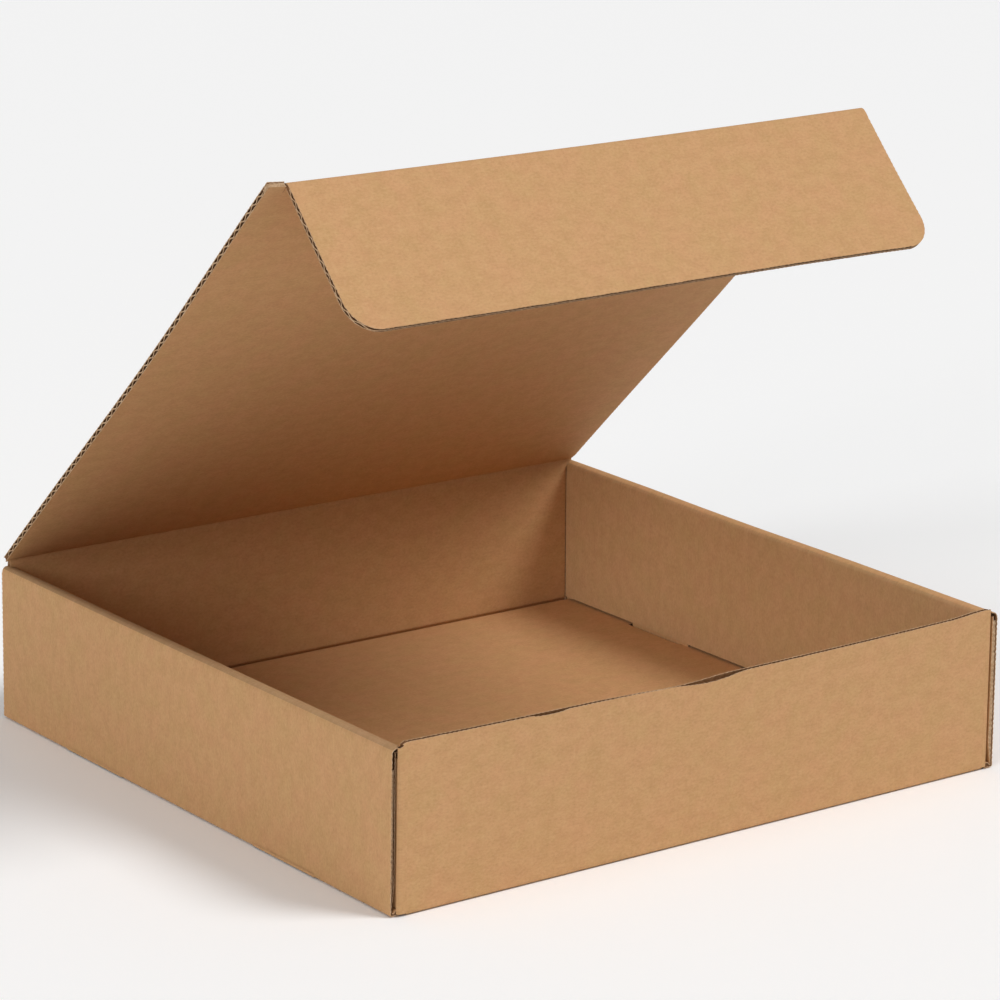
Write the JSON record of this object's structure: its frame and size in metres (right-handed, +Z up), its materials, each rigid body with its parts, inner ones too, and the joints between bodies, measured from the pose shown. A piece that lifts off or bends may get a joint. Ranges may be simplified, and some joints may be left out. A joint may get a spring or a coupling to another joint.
{
  "type": "corrugated mailer box",
  "caption": "Shallow square roll-end mailer box in brown corrugated board, standing open, with a hinged full-width lid and a rounded front tuck flap.",
  "frame": {"origin": "centre of the tray's underside, on the surface that the box stands on", "axes": "+X along the front wall, towards the right as seen from the front; +Y from the front wall towards the hinge; +Z up"},
  "size_m": [0.364, 0.34, 0.3158],
  "materials": {
    "kraft_board": "matte",
    "kraft_lid": "matte",
    "kraft_flap": "matte"
  },
  "bodies": {
    "tray": {"tray": "kraft_board"},
    "lid": {"lid": "kraft_lid"},
    "tuck_flap": {"tuck_flap": "kraft_flap"}
  },
  "joints": [
    {"name": "lid_hinge", "type": "hinge", "parent": "tray", "child": "lid", "pos_m": [0, 0.1686, 0.0835], "axis": [-1, 0, 0], "range_deg": [-44.6, 145.4]},
    {"name": "tuck_fold", "type": "hinge", "parent": "lid", "child": "tuck_flap", "pos_m": [0, -0.06494, 0.31381], "axis": [-1, 0, 0], "range_deg": [-52.2, 92.8]}
  ]
}
